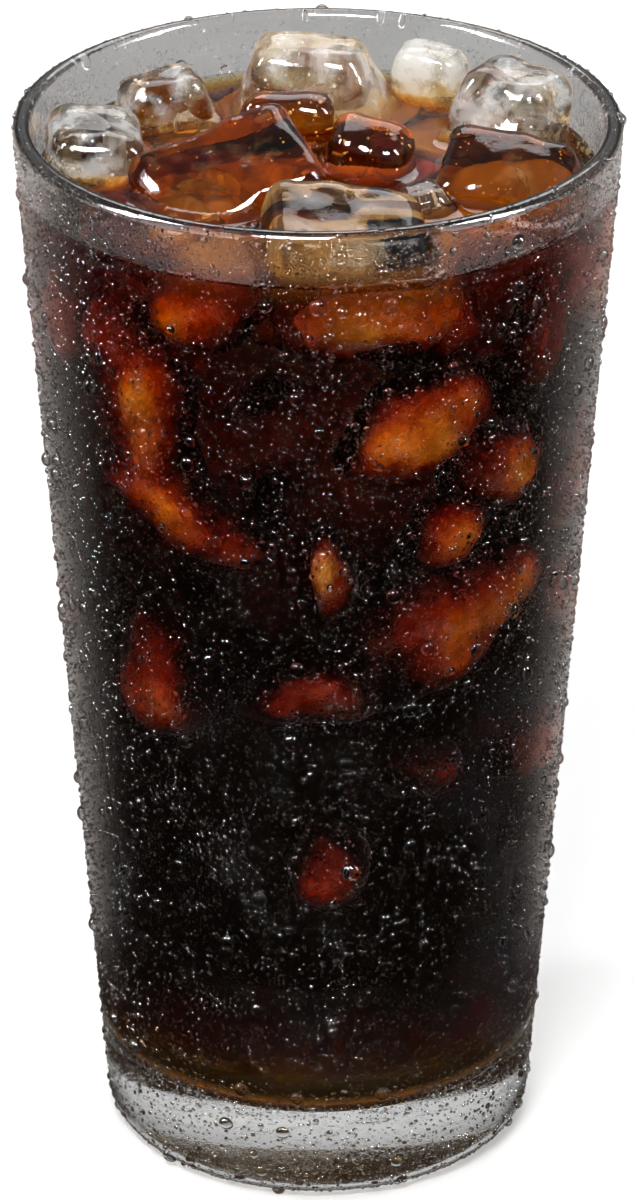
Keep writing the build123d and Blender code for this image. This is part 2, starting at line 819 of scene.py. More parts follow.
@dataclass(frozen=True)
class SoakedIcePaintedLight:
    """The ice bed just under the surface: a painted light makes it pale at the back, where light comes
    in, and a painted shade makes it dark in front.
    """

    # painted shade in front and painted light at the back, blended over the span light from front to
    # back
    front: Colour = (0.15, 0.085, 0.018)
    back: Colour = (0.80, 0.52, 0.22)
    light: Span = (-15 * MM, 30 * MM)
    mottle: Grain = Grain(120.0, 5.0, 0.6)
    mottle_span: Span = (0.32, 0.68)
    uneven: float = 0.35
    front_at: float = 0.1
    back_at: float = 0.9
    rough: float = 0.5

    def material(self) -> bpy.types.Material:
        """Build the material.

        Returns:
            The material.
        """
        nodes = Nodes("soaked_ice")
        nodes.set(roughness=self.rough)
        mottle = nodes.noise(self.mottle)
        mottled = nodes.span(mottle, "Fac", *self.mottle_span, -self.uneven, self.uneven)
        # painted light towards the back and painted shade towards the front, with a random mottle
        share = nodes.maths("ADD", nodes.along("Y", *self.light), mottled)
        colour = nodes.ramp(share, 0, [(self.front_at, self.front), (self.back_at, self.back)])
        nodes.link(colour, "Color", nodes.shader, "Base Color")
        return nodes.material


@dataclass(frozen=True)
class Water:
    """Condensed water."""

    ior: float = 1.333

    def material(self) -> bpy.types.Material:
        """Build the material.

        Returns:
            The material.
        """
        nodes = Nodes("dew_water")
        nodes.set(base_color=(1, 1, 1, 1), roughness=0.0, ior=self.ior, transmission_weight=1.0)
        return nodes.material


# ----------------------------------------------------------------------------------------------
# The tumbler
# ----------------------------------------------------------------------------------------------


@dataclass
class Tumbler:
    """The glass: a straight taper, a full-round lip, a thick foot and a shallow hollow under it."""

    foot_radius: float = 31.2 * MM
    rim_wall: float = 2.6 * MM
    foot_wall: float = 3.3 * MM
    base: float = 13.7 * MM
    heel: float = 4.7 * MM
    inside_corner: float = 5.0 * MM
    hollow_radius: float = 22.0 * MM
    hollow_depth: float = 1.0 * MM
    lip_share: float = 0.49
    steps: int = 256
    height: float = field(init=False)
    rim_radius: float = field(init=False)

    def __post_init__(self) -> None:
        """Take the height and the mouth from the frame."""
        _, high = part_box("glass")
        self.height = high.z
        self.rim_radius = high.x

    def outer(self, height: float) -> float:
        """The outside radius at a height."""
        return self.foot_radius + (self.rim_radius - self.foot_radius) * height / self.height

    def inner(self, height: float) -> float:
        """The inside radius at a height."""
        wall = self.foot_wall + (self.rim_wall - self.foot_wall) * height / self.height
        return self.outer(height) - wall

    def outside(self) -> list[Corner]:
        """The corners of the outside.

        Returns:
            Corners from the hollow's edge to the lip.
        """
        lip = self.lip_share * self.rim_wall
        return [
            Corner(self.hollow_radius, 0.0),
            Corner(self.foot_radius, 0.0, self.heel, 16),
            Corner(self.rim_radius, self.height, lip, 14),
            Corner(self.inner(self.height), self.height, lip, 14),
        ]

    def hollow(self) -> list[Corner]:
        """The shallow dome under the foot.

        Returns:
            Corners from the axis to the dome's edge.
        """
        sphere = (self.hollow_radius**2 + self.hollow_depth**2) / (2 * self.hollow_depth)
        outs = [self.hollow_radius * step / 10 for step in range(10)]
        return [Corner(out, math.sqrt(sphere**2 - out**2) - sphere + self.hollow_depth) for out in outs]

    def outline(self) -> list[Point]:
        """The whole section.

        Returns:
            Points from the axis under the foot to the axis on the inside.
        """
        inside = [
            Corner(self.inner(self.base), self.base, self.inside_corner, 14),
            Corner(0.0, self.base),
        ]
        return round_corners(self.hollow() + self.outside() + inside)

    def build(self) -> bpy.types.Object:
        """Turn the glass and dress its outside with dew and its inside without.

        Returns:
            The finished glass.
        """
        glass = turn("tumbler", self.outline(), self.steps)
        lip_middle = self.rim_radius - self.rim_wall / 2
        for face in glass.data.polygons:
            out = math.hypot(face.center.x, face.center.y)
            middle = (self.outer(face.center.z) + self.inner(face.center.z)) / 2
            inside = out < middle and face.center.z > self.base / 2
            under = face.center.z < self.hollow_depth and out < self.foot_radius - self.heel
            face.material_index = 1 if inside or under or out < lip_middle - self.rim_wall else 0
        finishes = [ClearGlass(dewy=True).material(), ClearGlass().material()]
        return settle(glass, finishes, ("glass",))


# ----------------------------------------------------------------------------------------------
# Ice
# ----------------------------------------------------------------------------------------------


def clouds(name: str, kind: str, size: float, **settings: object) -> bpy.types.Texture:
    """A procedural relief for the Displace modifier.

    Args:
        name: The texture's name.
        kind: Its type, such as "CLOUDS".
        size: The size of its features, in metres.
        settings: Its other properties.

    Returns:
        The texture.
    """
    texture = bpy.data.textures.new(name, kind)
    texture.noise_scale = size
    for key, value in settings.items():
        setattr(texture, key, value)
    return texture


def emboss(
    piece: bpy.types.Object,
    relief: bpy.types.Texture,
    strength: float,
    mid_level: float,
    **settings: object,
) -> None:
    """Press a relief into an object.

    Args:
        piece: The object to change.
        relief: The texture that gives the relief.
        strength: The height of the relief from its darkest to its lightest, in metres.
        mid_level: The texture's value that leaves the surface where it is.
        settings: More of the modifier's properties.
    """
    modify(
        piece,
        "DISPLACE",
        texture=relief,
        strength=strength,
        mid_level=mid_level,
        texture_coords="LOCAL",
        **settings,
    )


@dataclass
class StandingIce:
    """The half melted cubes that stand out of the coffee."""

    tumbler: Tumbler
    voxel: float = 0.5 * MM
    swell: float = 0.6 * MM
    wave: float = 1.6 * MM
    wave_size: float = 9 * MM
    dimple: float = 1.0 * MM
    dimple_size: float = 7 * MM
    wall_gap: float = 0.35 * MM
    milky: tuple[str, ...] = ("ice_back", "ice_left", "ice_left_back", "ice_right_back")
    white: tuple[str, ...] = ("ice_back_small",)
    soaked: tuple[str, ...] = ("ice_front_left", "ice_right", "ice_middle", "ice_middle_left")
    sheets_each: int = 2
    sheet_share: Span = (0.10, 0.20)
    sheet_thickness: float = 0.03 * MM
    sheet_tilt: Span = (0.3, 1.5)
    sheet_stray: float = 0.16
    fold: float = 3 * MM
    fold_size: float = 4 * MM
    bubbles_each: int = 70
    bubble_depth: Span = (0.6 * MM, 3.2 * MM)
    bubble_small: float = 0.10 * MM
    bubble_growth: float = 0.18 * MM
    seed: int = 5
    cubes: dict[str, bpy.types.Object] = field(default_factory=dict)

    def melt(self, node: str) -> bpy.types.Object:
        """Copy one cube of the frame and melt it: round its edges and hollow its sides.

        Args:
            node: The CAD node's name.

        Returns:
            The melted cube.
        """
        cube = copy_of(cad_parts[node], node + "_melted")
        tidy_shell(cube, 0.02 * MM)
        modify(cube, "REMESH", mode="VOXEL", voxel_size=self.voxel)
        waves = clouds("melt_waves", "CLOUDS", self.wave_size, noise_depth=1)
        dimples = clouds("melt_dimples", "VORONOI", self.dimple_size, distance_metric="DISTANCE")
        modify(cube, "DISPLACE", strength=self.swell, mid_level=0.0)
        emboss(cube, waves, self.wave, mid_level=0.45)
        emboss(cube, dimples, self.dimple, mid_level=0.30)
        modify(cube, "SMOOTH", factor=0.5, iterations=3)
        modify(cube, "REMESH", mode="VOXEL", voxel_size=self.voxel)
        modify(cube, "SMOOTH", factor=0.5, iterations=3)
        for vertex in cube.data.vertices:
            reach = math.hypot(vertex.co.x, vertex.co.y)
            room = self.tumbler.inner(vertex.co.z) - self.wall_gap
            if reach > room:
                vertex.co.x, vertex.co.y = vertex.co.x * room / reach, vertex.co.y * room / reach
        smooth(cube)
        return cube

    def finish_of(self, node: str, finishes: dict[str, bpy.types.Material]) -> bpy.types.Material:
        """The finish that a cube gets: white, milky, soaked in coffee or clear.

        Args:
            node: The CAD node's name.
            finishes: The finishes by their kinds.

        Returns:
            The cube's finish.
        """
        kinds = {"white": self.white, "milky": self.milky, "soaked": self.soaked}
        kind = next((kind for kind, nodes in kinds.items() if node in nodes), "clear")
        return finishes[kind]

    @staticmethod
    def soaked_finish() -> WetIce:
        """Ice that coffee has soaked: amber-brown all through.

        Returns:
            The finish.
        """
        brown, tan = (0.50, 0.20, 0.05), (0.60, 0.34, 0.15)
        amber = (0.86, 0.73, 0.12)
        return WetIce("soaked_cube", 0.12, (0.52, 0.74), tan, brown, tint=amber, density=225.0)

    @staticmethod
    def dark_finish() -> WetIce:
        """Clear ice in front of dark coffee.

        Returns:
            The finish.
        """
        grey, brown = (0.55, 0.53, 0.50), (0.42, 0.27, 0.14)
        tint = (0.90, 0.74, 0.45)
        return WetIce("dark_cube", 0.10, (0.50, 0.72), grey, brown, tint=tint, density=90.0)

    def sheets(self, cube: bpy.types.Object, chance: random.Random) -> list[bpy.types.Object]:
        """Thin wavy cracks in a cube's middle.

        Args:
            cube: The melted cube.
            chance: The seeded source of chance.

        Returns:
            The cracks.
        """
        points = np.array([v.co for v in cube.data.vertices])
        middle = (points.max(axis=0) + points.min(axis=0)) / 2
        size = np.ptp(points, axis=0)
        made = []
        for _ in range(self.sheets_each):
            clear_bench()
            bpy.ops.mesh.primitive_uv_sphere_add(segments=28, ring_count=12, radius=1.0)
            sheet = bpy.context.object
            wide = size.min() * chance.uniform(*self.sheet_share)
            long = size.max() * chance.uniform(*self.sheet_share)
            sheet.data.transform(Matrix.Diagonal((wide, long, self.sheet_thickness, 1)))
            folds = clouds("crack_folds", "CLOUDS", self.fold_size, noise_depth=2)
            emboss(sheet, folds, self.fold, mid_level=0.5, direction="Z")
            tilt = Matrix.Rotation(chance.uniform(0, math.tau), 4, "Z")
            tilt = tilt @ Matrix.Rotation(chance.uniform(*self.sheet_tilt), 4, "X")
            off_centre = [chance.uniform(-self.sheet_stray, self.sheet_stray) for _ in range(3)]
            shift = Vector(middle + size * np.array(off_centre))
            sheet.data.transform(Matrix.Translation(shift) @ tilt)
            made.append(sheet)
        return made

    def bubbles(self, cube: bpy.types.Object, chance: random.Random) -> bpy.types.Object:
        """Tiny bubbles of air just under a cube's skin.

        Args:
            cube: The melted cube.
            chance: The seeded source of chance.

        Returns:
            The bubbles, as one object.
        """
        clear_bench()
        bpy.ops.mesh.primitive_ico_sphere_add(subdivisions=1, radius=1.0)
        seed = bpy.context.object
        shape = np.array([v.co for v in seed.data.vertices])
        faces = np.array([face.vertices for face in seed.data.polygons])
        scrap(seed)
        skin = cube.data.vertices
        chosen = [skin[chance.randrange(len(skin))] for _ in range(self.bubbles_each)]
        places = [v.co - v.normal * chance.uniform(*self.bubble_depth) for v in chosen]
        sizes = [self.bubble_small + self.bubble_growth * chance.random() ** 2 for _ in chosen]
        points = np.concatenate([np.array(place) + shape * size for place, size in zip(places, sizes)])
        every = np.concatenate([faces + len(shape) * n for n in range(len(places))])
        return shell_of("bubbles", points.tolist(), every.tolist())

    def build(self) -> None:
        """Melt every standing cube, dress them, and add their cracks and bubbles."""
        finishes = {
            "clear": self.dark_finish().material(),
            "milky": WetIce("milky_ice", 0.42, (0.42, 0.68)).material(),
            "soaked": self.soaked_finish().material(),
            "white": WetIce("white_ice", 0.52, (0.32, 0.58), straw=(0.80, 0.62, 0.36)).material(),
        }
        chance = random.Random(self.seed)
        cracks, air = [], []
        for node in sorted(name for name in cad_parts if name.startswith("ice_")):
            cube = self.melt(node)
            cracks += self.sheets(cube, chance)
            air.append(self.bubbles(cube, chance))
            self.cubes[node] = settle(cube, [self.finish_of(node, finishes)], (node,))
        flaws = (
            (cracks, "ice_cracks", Flaw("ice_crack", 0.80)),
            (air, "ice_bubbles", Flaw("ice_air", 0.0)),
        )
        for made, name, finish in flaws:
            piece = join(made, name)
            smooth(piece)
            settle(piece, [finish.material()])


@dataclass(frozen=True)
class Lump:
    """One sunk cube: where it leans on the wall and how large the face is that shows there.

    Azimuths are degrees from the front and grow to the right, lengths are millimetres. A positive
    slant raises the right end, a positive pitch brings the lower edge to the wall, and a positive
    yaw the right edge.
    """

    azimuth: float
    height: float
    wide: float
    tall: float
    gap: float
    slant: float = 0.0
    pitch: float = 0.0
    yaw: float = 0.0


@dataclass(frozen=True)
class Rows:
    """How the lumps at the sides and the back are strewn, in degrees and millimetres.

    A row has a height and a number of lumps. From the row number deep on, each further row stands
    off the wall by one more sinking.
    """

    rows: tuple[tuple[float, int], ...] = ((140, 4), (124, 4), (108, 4), (90, 4), (70, 2), (50, 2))
    first: float = 85
    step: float = 50
    stagger: float = 25
    stray_round: float = 9
    stray_up: float = 5
    wide: Span = (10, 22)
    tall: Span = (8, 18)
    growth: float = 1.2
    gap: Span = (0.8, 2.0)
    deep: int = 2
    sinking: float = 0.6
    turns: tuple[float, float, float] = (35, 20, 20)


@dataclass
class SunkIce:
    """The ice under the surface, with a painted glow where it comes near the wall."""

    tumbler: Tumbler
    level: float
    cover: float = 1.2 * MM
    deep: float = 24 * MM
    spread: float = 1.55
    voxel: float = 1.0 * MM
    dent: float = 5.0 * MM
    dent_size: float = 12 * MM
    wave: float = 2.4 * MM
    wave_size: float = 6 * MM
    seed: int = 7
    strewn: Rows = Rows()
    seen: tuple[Lump, ...] = (
        Lump(14, 143.0, 18, 13, 0.9, 8, 18, -4),
        Lump(-26, 142.0, 12, 10, 1.9, -8, 8, 20),
        Lump(-50, 131, 12, 28, 1.2, 10, 12, -16),
        Lump(25, 125.5, 17, 10, 1.2, 24, 24, 10),
        Lump(46, 115, 9, 13, 1.1, 28, 0, -14),
        Lump(37, 107, 11, 9, 1.5, 30, 10, 0),
        Lump(-40, 110, 19, 8, 1.7, -22, 20, -6),
        Lump(4, 103.5, 4, 10, 0.8, -6, 10, 6),
        Lump(36, 92, 23, 14, 1.4, 38, -16, 14),
        Lump(-50, 84, 11, 16, 2.3, 4, 0, -14),
        Lump(-3, 82.5, 15, 8, 3.4, 6, 12, 0),
        Lump(35, 69, 10, 8, 4.4, 10, 0, 0),
        Lump(2, 54.5, 8, 12, 3.2, 0, 0, 0),
        Lump(30, 141, 14, 14, 3.6, 20, 0, 0),
        Lump(60, 134, 14, 18, 3.0, 10, 0, 0),
        Lump(-72, 136, 12, 16, 2.6, 0, 0, 0),
    )

    def lump(self, shape: Lump, index: int) -> bpy.types.Object:
        """Model one lump and set it against the wall.

        Args:
            shape: Its place and size.
            index: Its number, for its name.

        Returns:
            The lump.
        """
        clear_bench()
        bpy.ops.mesh.primitive_uv_sphere_add(segments=32, ring_count=16, radius=0.5)
        piece = bpy.context.object
        piece.name = f"sunk_{index}"
        height = shape.height * MM
        out = self.tumbler.inner(height) - shape.gap * MM - self.deep / 2
        # the lump's -Y side looks at the wall; azimuth 0 is the front and grows to the right
        turn_to = Matrix.Rotation(math.radians(shape.azimuth), 4, "Z")
        lean = Matrix.Rotation(math.radians(-shape.pitch), 4, "X")
        lean = lean @ Matrix.Rotation(math.radians(-shape.yaw), 4, "Z")
        lean = lean @ Matrix.Rotation(math.radians(-shape.slant), 4, "Y")
        scale = self.spread * MM
        size = Matrix.Diagonal((shape.wide * scale, self.deep, shape.tall * scale, 1))
        place = turn_to @ Matrix.Translation((0, -out, height)) @ lean @ size
        piece.data.transform(place)
        modify(piece, "REMESH", mode="VOXEL", voxel_size=self.voxel)
        waves = clouds("sunk_waves", "CLOUDS", self.wave_size, noise_depth=1)
        dents = clouds("sunk_dents", "CLOUDS", self.dent_size, noise_depth=0)
        emboss(piece, dents, self.dent, mid_level=0.55)
        emboss(piece, waves, self.wave, mid_level=0.66)
        modify(piece, "SMOOTH", factor=0.5, iterations=8)
        self.hold_off(piece, shape.gap * MM)
        return piece

    def hold_off(self, piece: bpy.types.Object, gap: float) -> None:
        """Move a lump in or out until its nearest point is a gap away from the wall.

        Args:
            piece: The lump.
            gap: The gap, in metres.
        """
        cup = self.tumbler
        points = [v.co for v in piece.data.vertices]
        near = min(cup.inner(point.z) - math.hypot(point.x, point.y) for point in points)
        middle = Vector(np.mean(points, axis=0))
        outward = Vector((middle.x, middle.y, 0)).normalized()
        piece.data.transform(Matrix.Translation(outward * (near - gap)))
        for vertex in piece.data.vertices:
            vertex.co.z = min(vertex.co.z, self.level - self.cover)

    def elsewhere(self) -> list[Lump]:
        """Lumps for the sides and the back, in the same mix of sizes.

        Returns:
            Their places and sizes.
        """
        chance = random.Random(self.seed)
        strewn = self.strewn
        lumps = []
        for row, (height, count) in enumerate(strewn.rows):
            start = strewn.first + strewn.stagger * (row % 2)
            sunk = strewn.sinking * max(row - strewn.deep, 0)
            for column in range(count):
                stray = chance.uniform(-strewn.stray_round, strewn.stray_round)
                azimuth = start + strewn.step * column + stray
                wide, tall = chance.uniform(*strewn.wide), chance.uniform(*strewn.tall)
                gap = chance.uniform(*strewn.gap) + sunk
                up = height + chance.uniform(-strewn.stray_up, strewn.stray_up)
                turns = [chance.uniform(-reach, reach) for reach in strewn.turns]
                lumps.append(Lump(azimuth, up, wide * strewn.growth, tall * strewn.growth, gap, *turns))
        return lumps

    def build(self) -> bpy.types.Object:
        """Model all the lumps as one piece.

        Returns:
            The sunk ice.
        """
        shapes = list(self.seen) + self.elsewhere()
        lumps = [self.lump(shape, index) for index, shape in enumerate(shapes)]
        sunk = join(lumps, "sunk_ice")
        smooth(sunk)
        low, high = self.tumbler.inner(0.0), self.tumbler.inner(self.tumbler.height)
        slope = (high - low) / self.tumbler.height
        return settle(sunk, [PaintedSunkGlow(wall_low=low, wall_slope=slope).material()])


# ----------------------------------------------------------------------------------------------
# Coffee
# ----------------------------------------------------------------------------------------------


@dataclass
class Coffee:
    """The liquid: up to its level, climbing a little on the wall and on the ice."""

    tumbler: Tumbler
    ice: StandingIce
    reach: float = 0.12 * MM
    climb_wall: float = 1.1 * MM
    climb_ice: float = 1.5 * MM
    climb_width: float = 1.1 * MM
    climb_reach: float = 8 * MM
    probe_lift: float = 0.5 * MM
    play: float = 0.01 * MM
    overlap: float = 0.05 * MM
    ring: float = 0.7 * MM
    heart_inset: float = 9.5 * MM
    heart_drop: float = 15.0 * MM
    heart_lift: float = 0.15 * MM
    foot_inset: float = 0.6 * MM
    foot_rise: float = 6.0 * MM
    foot_corner: float = 4.8 * MM
    shoulder: float = 5.0 * MM
    bed_inset: float = 5.0 * MM
    bed_drop: float = 3.6 * MM
    bed_sink: float = 2.0 * MM
    bed_taper: float = 3.0 * MM
    bed_shoulder: float = 4.0 * MM
    bed_relief: float = 4.0 * MM
    bed_lump: float = 12 * MM
    steps: int = 256
    level: float = field(init=False)

    def __post_init__(self) -> None:
        """Take the level from the frame."""
        _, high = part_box("coffee")
        self.level = high.z

    def outline(self) -> list[Point]:
        """The liquid's section.

        Returns:
            Points from the axis at the bottom to the axis at the top.
        """
        cup = self.tumbler
        bottom = cup.base - self.reach
        top = self.level + self.climb_wall
        edge = cup.inner(top) + self.reach
        wall = [
            Corner(0.0, bottom),
            Corner(cup.inner(cup.base) + self.reach, bottom, cup.inside_corner + self.reach, 14),
            Corner(edge, top),
        ]
        shore = edge - self.reach
        rings = int(shore / self.ring)
        outs = [shore * (rings - step) / rings for step in range(rings + 1)]
        surface = [(out, self.level + self.climb_wall * self.falling(shore - out)) for out in outs]
        return round_corners(wall) + surface

    def falling(self, distance: float) -> float:
        """How much of a climb is left at a distance from what it climbs."""
        return math.exp(-max(distance, 0.0) / self.climb_width)

    def climb_cubes(self, liquid: bpy.types.Object) -> None:
        """Raise the surface where it clings to the standing ice.

        Args:
            liquid: The turned liquid.
        """
        graph = bpy.context.evaluated_depsgraph_get()
        trees = [BVHTree.FromObject(cube, graph) for cube in self.ice.cubes.values()]
        wall = self.tumbler.inner(self.level)
        for vertex in liquid.data.vertices:
            out = math.hypot(vertex.co.x, vertex.co.y)
            if vertex.co.z < self.level - self.play or out > wall:
                continue
            flat = Vector((vertex.co.x, vertex.co.y, self.level + self.probe_lift))
            near = [tree.find_nearest(flat, self.climb_reach)[3] for tree in trees]
            close = min((distance for distance in near if distance is not None), default=None)
            if close is not None:
                rise = self.climb_ice * self.falling(close)
                vertex.co.z = max(vertex.co.z, self.level + rise)

    def cut_cubes(self, liquid: bpy.types.Object) -> None:
        """Cut the standing ice out of the liquid, leaving a hair of overlap so that no air shows.

        Args:
            liquid: The turned liquid.
        """
        for cube in self.ice.cubes.values():
            cutter = copy_of(cube, "cutter")
            modify(cutter, "DISPLACE", strength=-self.overlap, mid_level=0.0)
            modify(liquid, "BOOLEAN", operation="DIFFERENCE", object=cutter, solver="MANIFOLD")
            scrap(cutter)

    def heart(self) -> bpy.types.Object:
        """The dark middle of the drink.

        Returns:
            A closed core inside the liquid.
        """
        cup = self.tumbler
        low, high = cup.base + self.heart_lift, self.level - self.heart_drop
        corners = [
            Corner(0.0, low),
            Corner(cup.inner(low) - self.foot_inset, low, self.foot_corner, 8),
            Corner(cup.inner(low) - self.foot_inset, low + self.foot_rise),
            Corner(cup.inner(low) - self.heart_inset, low + 3 * self.foot_rise),
            Corner(cup.inner(high) - self.heart_inset, high, self.shoulder, 8),
            Corner(0.0, high),
        ]
        core = turn("deep_coffee_painted_glow", round_corners(corners, run=6 * MM), steps=96)
        return settle(core, [DarkBrewPaintedGlow().material()])

    def bed(self) -> bpy.types.Object:
        """The ice packed just under the surface, which lends the coffee its amber between the cubes,
        with painted light at the back and painted shade in front.

        Returns:
            A closed uneven bed on the dark middle.
        """
        low = self.level - self.heart_drop - self.bed_sink
        high = self.level - self.bed_drop
        edge = self.tumbler.inner(high) - self.bed_inset
        corners = [
            Corner(0.0, low),
            Corner(edge - self.bed_taper, low),
            Corner(edge, high, self.bed_shoulder, 8),
            Corner(0.0, high),
        ]
        packed = turn("under_ice", round_corners(corners, run=1.5 * MM), steps=128)
        lumps = clouds("bed_lumps", "VORONOI", self.bed_lump, distance_metric="DISTANCE")
        emboss(packed, lumps, -self.bed_relief, mid_level=0.3)
        modify(packed, "SMOOTH", factor=0.5, iterations=4)
        smooth(packed)
        return settle(packed, [SoakedIcePaintedLight().material()])

    def build(self) -> bpy.types.Object:
        """Turn the liquid, let it climb, cut the ice out, and add the dark middle and the bed of ice.

        Returns:
            The liquid.
        """
        liquid = turn("coffee_liquid", self.outline(), self.steps)
        self.climb_cubes(liquid)
        self.cut_cubes(liquid)
        pick(liquid)
        bpy.ops.object.shade_smooth_by_angle(angle=math.radians(50))
        settle(liquid, [Brew().material()], ("coffee",))
        self.heart()
        self.bed()
        return liquid


# ----------------------------------------------------------------------------------------------
# Dew
# ----------------------------------------------------------------------------------------------


@dataclass(frozen=True)
class DewKind:
    """One kind of drop: how many, how large, and how finely each is modelled."""

    name: str
    count: int
    small: float
    large: float
    segments: int
    rings: int
    bias: float
    flat: float = 0.42


@dataclass
class Dew:
    """Condensed water all over the outside of the glass, from a fine mist to drops that run."""

    tumbler: Tumbler
    seed: int = 21
    sink: float = 0.12
    kinds: tuple[DewKind, ...] = (
        DewKind("dew_drops", 440, 1.0 * MM, 2.5 * MM, 18, 10, 2.0, 0.40),
        DewKind("dew_pearls", 1700, 0.65 * MM, 1.15 * MM, 12, 8, 1.5, 0.42),
        DewKind("dew_beads", 2900, 0.42 * MM, 0.75 * MM, 10, 6, 1.5, 0.44),
        DewKind("dew_grains", 9800, 0.36 * MM, 0.58 * MM, 5, 4, 1.6, 0.50),
        DewKind("dew_specks", 10200, 0.26 * MM, 0.46 * MM, 5, 4, 1.4, 0.50),
        DewKind("dew_mist", 10400, 0.20 * MM, 0.34 * MM, 5, 4, 1.2, 0.50),
    )
    front_share: float = 0.45
    clear_of: float = 0.40 * MM
    crowding: float = 0.9
    lowest: float = 0.6 * MM
    drawn: float = 0.25
    drawn_middle: float = 0.4
    rise_spread: float = 0.4
    taken: list[np.ndarray] = field(default_factory=list)

    def track(self) -> tuple[np.ndarray, np.ndarray, np.ndarray]:
        """The outside's outline as points, outward normals and the share of the area passed.

        Returns:
            Points (radius, height), normals (out, up) and a running share from 0 to 1.
        """
        cup = self.tumbler
        inside_top = cup.height - 2 * cup.rim_wall
        corners = cup.outside() + [Corner(cup.inner(inside_top), inside_top)]
        line = np.array(round_corners(corners, run=2 * MM))
        lip_middle = cup.rim_radius - cup.rim_wall / 2
        on_outside = (line[:, 0] > lip_middle) | (line[:, 1] < cup.height / 2)
        line = line[on_outside & (line[:, 1] > self.lowest)]
        steps = np.diff(line, axis=0)
        lengths = np.hypot(*steps.T)
        along = np.concatenate([[0], np.cumsum(lengths * (line[1:, 0] + line[:-1, 0]) / 2)])
        direction = np.gradient(line, axis=0)
        normals = np.stack([direction[:, 1], -direction[:, 0]], axis=1)
        normals /= np.linalg.norm(normals, axis=1, keepdims=True)
        return line, normals, along / along[-1]

    def template(self, kind: DewKind) -> tuple[np.ndarray, list[tuple[int, ...]]]:
        """Model one drop: the upper half of a sphere, closed underneath.

        Args:
            kind: The kind of drop.

        Returns:
            Its points, for a radius of 1, and its faces.
        """
        clear_bench()
        bpy.ops.mesh.primitive_uv_sphere_add(segments=kind.segments, ring_count=kind.rings, radius=1.0)
        drop = bpy.context.object
        bpy.ops.object.mode_set(mode="EDIT")
        bpy.ops.mesh.select_all(action="SELECT")
        bpy.ops.mesh.bisect(plane_co=(0, 0, 0), plane_no=(0, 0, 1), use_fill=True, clear_inner=True)
        bpy.ops.object.mode_set(mode="OBJECT")
        tidy_shell(drop)
        points = np.array([v.co for v in drop.data.vertices])
        faces = [tuple(face.vertices) for face in drop.data.polygons]
        scrap(drop)
        return points, faces

    def azimuths(self, count: int, draw: np.random.Generator) -> np.ndarray:
        """Angles round the glass, from +X, a little denser towards the front.

        Args:
            count: How many angles.
            draw: The seeded source of chance.

        Returns:
            The angles in radians.
        """
        spare = count * 3
        many = draw.random(spare) * math.tau
        density = (1 - self.front_share * np.sin(many)) / (1 + self.front_share)
        return many[draw.random(spare) < density][:count]

    def scatter(self, kind: DewKind, draw: np.random.Generator) -> bpy.types.Object:
        """Set one kind of drop all over the glass, clear of the larger kinds.

        Args:
            kind: The kind of drop.
            draw: The seeded source of chance.

        Returns:
            One joined piece.
        """
        line, normals, share = self.track()
        points, faces = self.template(kind)
        at = draw.random(kind.count)
        turn_by = self.azimuths(kind.count, draw)
        size = kind.small + (kind.large - kind.small) * draw.random(kind.count) ** kind.bias
        radius = size / 2
        out, height = (np.interp(at, share, line[:, axis]) for axis in (0, 1))
        n_out, n_up = (np.interp(at, share, normals[:, axis]) for axis in (0, 1))
        cos, sin = np.cos(turn_by), np.sin(turn_by)
        foot = np.stack([out * cos, out * sin, height], axis=1)
        normal = np.stack([n_out * cos, n_out * sin, n_up], axis=1)
        side = np.stack([-sin, cos, np.zeros_like(sin)], axis=1)
        upward = np.cross(normal, side)
        keep = np.ones(kind.count, bool)
        for others in self.taken:
            for row in others:
                keep &= np.linalg.norm(foot - row[:3], axis=1) > row[3] + radius * self.crowding
        if kind.small >= self.clear_of:
            self.taken.append(np.column_stack([foot, radius])[keep])
        stretch = 1 + self.drawn * (draw.random(kind.count) - self.drawn_middle)
        uneven = 1 - self.rise_spread / 2 + self.rise_spread * draw.random(kind.count)
        rise = radius * kind.flat * 2 * uneven
        all_points = (
            (foot - normal * (rise * self.sink)[:, None])[:, None, :]
            + side[:, None, :] * (points[None, :, :1] * radius[:, None, None])
            + upward[:, None, :] * (points[None, :, 1:2] * (radius * stretch)[:, None, None])
            + normal[:, None, :] * (points[None, :, 2:] * rise[:, None, None])
        )[keep]
        count, corners = all_points.shape[:2]
        starts = [drop * corners for drop in range(count)]
        all_faces = [tuple(corner + start for corner in face) for start in starts for face in faces]
        piece = shell_of(kind.name, all_points.reshape(-1, 3).tolist(), all_faces)
        pick(piece)
        bpy.ops.object.shade_smooth_by_angle(angle=math.radians(60))
        return piece

    def build(self) -> None:
        """Scatter every kind of drop, the largest first."""
        draw = np.random.default_rng(self.seed)
        water = Water().material()
        for kind in self.kinds:
            settle(self.scatter(kind, draw), [water])


# ----------------------------------------------------------------------------------------------
# Studio
# ----------------------------------------------------------------------------------------------


@dataclass(frozen=True)
class Softbox:
    """One soft lamp that looks at the middle of the drink."""

    name: str
    azimuth: float
    elevation: float
    distance: float
    wide: float
    tall: float
    radiance: float
    shows: Shows = Shows.BOTH


